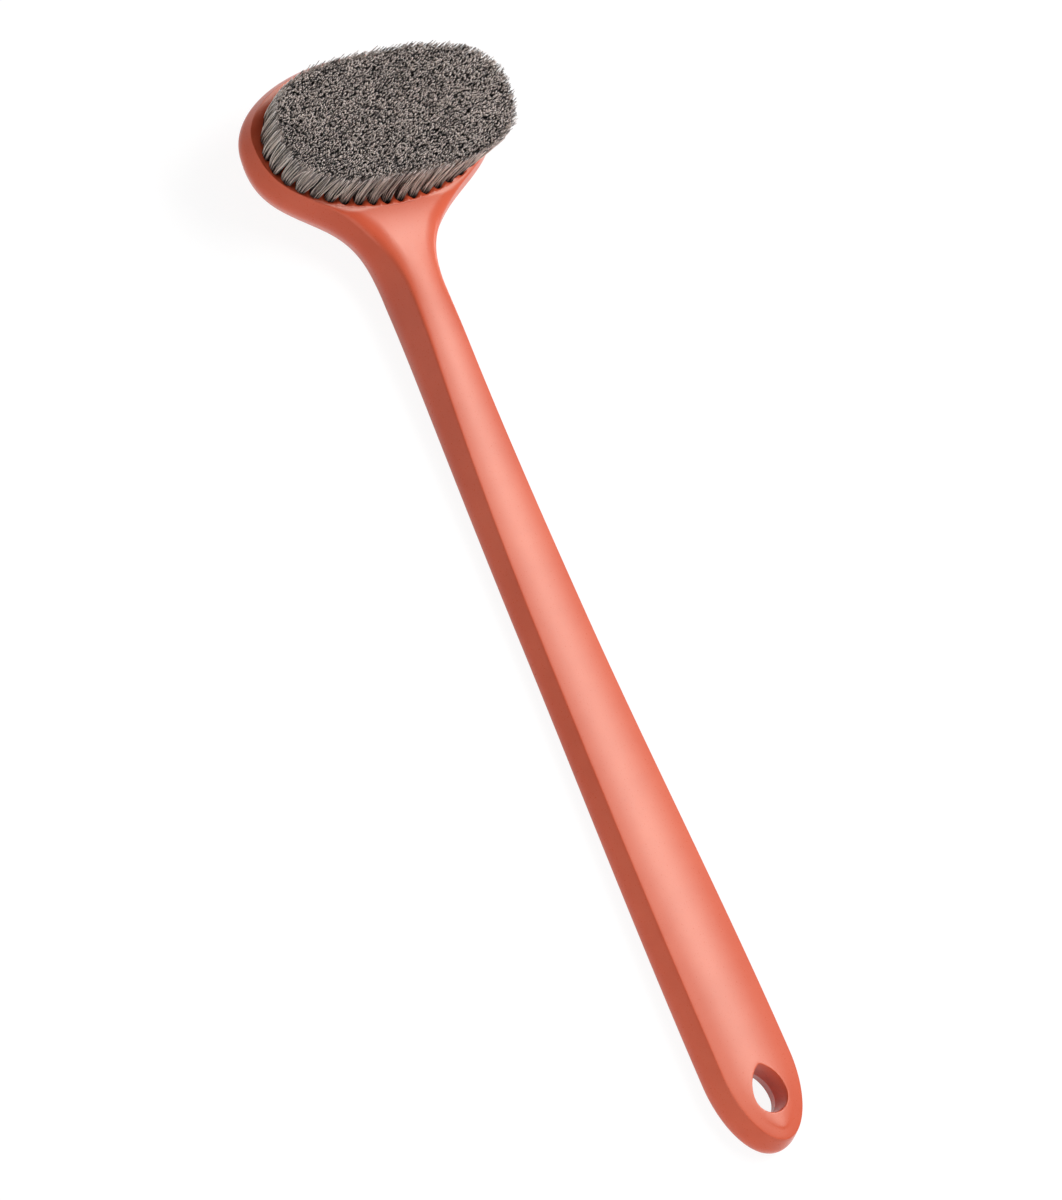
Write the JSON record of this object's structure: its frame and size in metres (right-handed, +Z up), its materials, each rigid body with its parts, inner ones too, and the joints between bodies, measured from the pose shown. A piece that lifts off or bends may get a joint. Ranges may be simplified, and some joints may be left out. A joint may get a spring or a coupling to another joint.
{
  "type": "bath brush",
  "caption": "Long-handled bath brush: a soft-touch handle with a drop-shaped hanging hole, and a tilted oval head of dense grey bristles.",
  "frame": {"origin": "bottom centre of the bounding box: on the surface that the flat back of the handle lies on, in the middle of the length and of the width", "axes": "+Z up, the way the bristles point; +Y along the handle from the hanging hole to the head; +X across the head"},
  "size_m": [0.1004, 0.4, 0.0484],
  "materials": {
    "soft_touch": "coral soft-touch elastomer, satin, moulded over the core",
    "block_plastic": "coral moulded plastic, satin",
    "core_plastic": "uncoloured moulded polypropylene, hidden",
    "bristle": "fine grey-taupe nylon fibre with paler tips",
    "steel_wire": "drawn stainless wire, hidden"
  },
  "bodies": {
    "root": {"soft_touch_skin": "soft_touch", "handle_core": "core_plastic", "tuft_block": "block_plastic", "tuft_01": "bristle", "tuft_02": "bristle", "tuft_03": "bristle", "tuft_04": "bristle", "tuft_05": "bristle", "tuft_06": "bristle", "tuft_07": "bristle", "tuft_08": "bristle", "tuft_09": "bristle", "tuft_10": "bristle", "tuft_11": "bristle", "tuft_12": "bristle", "tuft_13": "bristle", "tuft_14": "bristle", "tuft_15": "bristle", "tuft_16": "bristle", "tuft_17": "bristle", "tuft_18": "bristle", "tuft_19": "bristle", "tuft_20": "bristle", "tuft_21": "bristle", "tuft_22": "bristle", "tuft_23": "bristle", "tuft_24": "bristle", "tuft_25": "bristle", "tuft_26": "bristle", "tuft_27": "bristle", "tuft_28": "bristle", "tuft_29": "bristle", "tuft_30": "bristle", "tuft_31": "bristle", "tuft_32": "bristle", "tuft_33": "bristle", "tuft_34": "bristle", "tuft_35": "bristle", "tuft_36": "bristle", "tuft_37": "bristle", "tuft_38": "bristle", "tuft_39": "bristle", "tuft_40": "bristle", "tuft_ring_2": "bristle", "tuft_ring_3": "bristle", "tuft_ring_4": "bristle", "tuft_middle_row": "bristle", "anchor_wire_1": "steel_wire", "anchor_wire_2": "steel_wire", "anchor_wire_3": "steel_wire", "anchor_wire_4": "steel_wire", "anchor_wire_middle": "steel_wire"}
  },
  "joints": []
}
